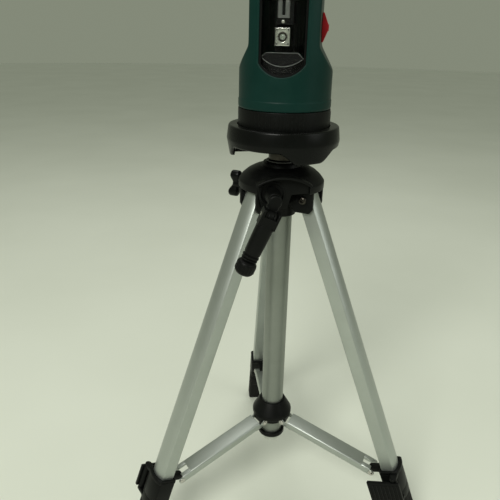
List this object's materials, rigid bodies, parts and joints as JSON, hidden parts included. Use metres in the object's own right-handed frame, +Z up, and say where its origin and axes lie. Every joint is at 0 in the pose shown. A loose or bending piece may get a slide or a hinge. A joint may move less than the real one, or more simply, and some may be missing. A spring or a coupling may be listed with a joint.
{
  "type": "laser level on tripod",
  "caption": "Self-levelling laser level with a windowed drum head and three-footed base, on a folding tripod with a crank-geared column, braced legs and flip locks.",
  "frame": {"origin": "point of the floor under the column's axis", "axes": "+Z up the column; -Y towards the crank; legs at 90, 210 and 330 degrees about +Z"},
  "size_m": [0.3464, 0.3035, 0.6043],
  "materials": {
    "green_plastic": "semi-matt moulded plastic",
    "black_plastic": "moulded plastic",
    "rubber": "matt",
    "aluminium": "clear anodised",
    "steel": "bright",
    "red_plastic": "semi-gloss",
    "clear_pane": "clear",
    "grey_zinc": "matt die-cast",
    "circuit_board": "green resist",
    "cell_jacket": "printed jacket"
  },
  "bodies": {
    "frame": {"shoulder": "black_plastic", "column_bush": "grey_zinc", "guide_tube": "aluminium", "tube_end_ring": "black_plastic", "leg_pivot_screw_front_left": "steel", "leg_pivot_screw_front_right": "steel", "leg_pivot_screw_rear": "steel"},
    "hub": {"brace_hub": "black_plastic", "hub_rivet_front_left": "steel", "hub_rivet_front_right": "steel", "hub_rivet_rear": "steel"},
    "column": {"column_tube": "aluminium", "gear_rack": "steel", "column_head": "steel", "mounting_stud": "steel", "base_dish": "black_plastic"},
    "head": {"turntable": "black_plastic", "swivel_spindle": "steel", "head_front_shell": "green_plastic", "head_rear_shell": "green_plastic", "top_cap": "green_plastic", "window_frame": "black_plastic", "window_pane": "clear_pane", "pendulum_yoke": "grey_zinc", "circuit_board": "circuit_board", "battery_pack": "cell_jacket"},
    "gimbal": {"gimbal_block": "steel"},
    "pendulum": {"pendulum": "grey_zinc", "laser_module": "steel"},
    "switch": {"power_switch": "red_plastic"},
    "cover": {"battery_cover": "green_plastic"},
    "crank": {"crank_shaft": "steel", "crank_pinion": "steel", "crank_arm": "black_plastic", "crank_hinge_pin": "steel"},
    "grip": {"crank_grip": "black_plastic", "grip_knob": "black_plastic"},
    "lock": {"wing_knob": "black_plastic", "lock_screw": "steel"},
    "leg_front_left": {"leg_tube_front_left": "aluminium", "leg_knuckle_front_left": "black_plastic", "lock_housing_front_left": "black_plastic"},
    "lower_leg_front_left": {"leg_inner_front_left": "aluminium", "foot_front_left": "rubber"},
    "lever_front_left": {"lock_lever_front_left": "black_plastic"},
    "brace_front_left": {"brace_front_left": "aluminium"},
    "leg_front_right": {"leg_tube_front_right": "aluminium", "leg_knuckle_front_right": "black_plastic", "lock_housing_front_right": "black_plastic"},
    "lower_leg_front_right": {"leg_inner_front_right": "aluminium", "foot_front_right": "rubber"},
    "lever_front_right": {"lock_lever_front_right": "black_plastic"},
    "brace_front_right": {"brace_front_right": "aluminium"},
    "leg_rear": {"leg_tube_rear": "aluminium", "leg_knuckle_rear": "black_plastic", "lock_housing_rear": "black_plastic"},
    "lower_leg_rear": {"leg_inner_rear": "aluminium", "foot_rear": "rubber"},
    "lever_rear": {"lock_lever_rear": "black_plastic"},
    "brace_rear": {"brace_rear": "aluminium"}
  },
  "joints": [
    {"name": "leg_fold_front_left", "type": "hinge", "parent": "frame", "child": "leg_front_left", "pos_m": [-0.02555, -0.01475, 0.39], "axis": [0.5, -0.866, 0], "range_deg": [0, 15]},
    {"name": "leg_extend_front_left", "type": "slide", "parent": "leg_front_left", "child": "lower_leg_front_left", "axis": [-0.316, -0.1824, -0.9311], "range_m": [0, 0.2]},
    {"name": "lock_lever_front_left", "type": "hinge", "parent": "leg_front_left", "child": "lever_front_left", "pos_m": [-0.14793, -0.06185, 0.08139], "axis": [0.316, 0.1824, 0.9311], "range_deg": [0, 100]},
    {"name": "leg_fold_front_right", "type": "hinge", "parent": "frame", "child": "leg_front_right", "pos_m": [0.02555, -0.01475, 0.39], "axis": [0.5, 0.866, 0], "range_deg": [0, 15]},
    {"name": "leg_extend_front_right", "type": "slide", "parent": "leg_front_right", "child": "lower_leg_front_right", "axis": [0.316, -0.1824, -0.9311], "range_m": [0, 0.2]},
    {"name": "lock_lever_front_right", "type": "hinge", "parent": "leg_front_right", "child": "lever_front_right", "pos_m": [0.12753, -0.09718, 0.08139], "axis": [-0.316, 0.1824, 0.9311], "range_deg": [0, 100]},
    {"name": "leg_fold_rear", "type": "hinge", "parent": "frame", "child": "leg_rear", "pos_m": [0, 0.0295, 0.39], "axis": [-1, 0, 0], "range_deg": [0, 15]},
    {"name": "leg_extend_rear", "type": "slide", "parent": "leg_rear", "child": "lower_leg_rear", "axis": [0, 0.3649, -0.9311], "range_m": [0, 0.2]},
    {"name": "lock_lever_rear", "type": "hinge", "parent": "leg_rear", "child": "lever_rear", "pos_m": [0.0204, 0.15904, 0.08139], "axis": [0, -0.3649, 0.9311], "range_deg": [0, 100]},
    {"name": "hub_slide", "type": "slide", "parent": "frame", "child": "hub", "axis": [0, 0, 1], "range_m": [0, 0.067]},
    {"name": "brace_swing_front_left", "type": "hinge", "parent": "hub", "child": "brace_front_left", "pos_m": [-0.0149, -0.0086, 0.11113], "axis": [0.5, -0.866, 0], "range_deg": [0, 64]},
    {"name": "brace_swing_front_right", "type": "hinge", "parent": "hub", "child": "brace_front_right", "pos_m": [0.0149, -0.0086, 0.11113], "axis": [0.5, 0.866, 0], "range_deg": [0, 64]},
    {"name": "brace_swing_rear", "type": "hinge", "parent": "hub", "child": "brace_rear", "pos_m": [0, 0.0172, 0.11113], "axis": [-1, 0, 0], "range_deg": [0, 64]},
    {"name": "column_lift", "type": "slide", "parent": "frame", "child": "column", "axis": [0, 0, 1], "range_m": [0, 0.18]},
    {"name": "crank_turn", "type": "hinge", "parent": "frame", "child": "crank", "pos_m": [-0.0128, 0, 0.399], "axis": [0, -1, 0], "range_deg": [0, 2160]},
    {"name": "grip_fold", "type": "hinge", "parent": "crank", "child": "grip", "pos_m": [-0.01798, -0.067, 0.38708], "axis": [-0.9171, 0, 0.3987], "range_deg": [0, 90]},
    {"name": "column_lock", "type": "hinge", "parent": "frame", "child": "lock", "pos_m": [-0.03464, 0.02, 0.393], "axis": [-0.866, 0.5, 0], "range_deg": [0, 180]},
    {"name": "head_swivel", "type": "hinge", "parent": "column", "child": "head", "pos_m": [0, 0, 0.464], "axis": [0, 0, 1], "continuous": true},
    {"name": "gimbal_pitch", "type": "hinge", "parent": "head", "child": "gimbal", "pos_m": [0, 0, 0.583], "axis": [0.9744, -0.225, 0], "range_deg": [-4, 4]},
    {"name": "pendulum_roll", "type": "hinge", "parent": "gimbal", "child": "pendulum", "pos_m": [0, 0, 0.583], "axis": [0.225, 0.9744, 0], "range_deg": [-4, 4]},
    {"name": "switch_slide", "type": "slide", "parent": "head", "child": "switch", "axis": [0, 0, 1], "range_m": [0, 0.006]},
    {"name": "battery_cover_pull", "type": "slide", "parent": "head", "child": "cover", "axis": [0.225, 0.9744, 0], "range_m": [0, 0.03]}
  ],
  "couplings": [
    {"joint": "leg_fold_front_right", "follows": "leg_fold_front_left", "ratio": 1},
    {"joint": "leg_fold_rear", "follows": "leg_fold_front_left", "ratio": 1},
    {"joint": "hub_slide", "follows": "leg_fold_front_left", "m_per_rad": 0.2521},
    {"joint": "brace_swing_front_left", "follows": "leg_fold_front_left", "ratio": 4.2},
    {"joint": "brace_swing_front_right", "follows": "leg_fold_front_left", "ratio": 4.2},
    {"joint": "brace_swing_rear", "follows": "leg_fold_front_left", "ratio": 4.2},
    {"joint": "crank_turn", "follows": "column_lift", "rad_per_m": 208.33}
  ]
}
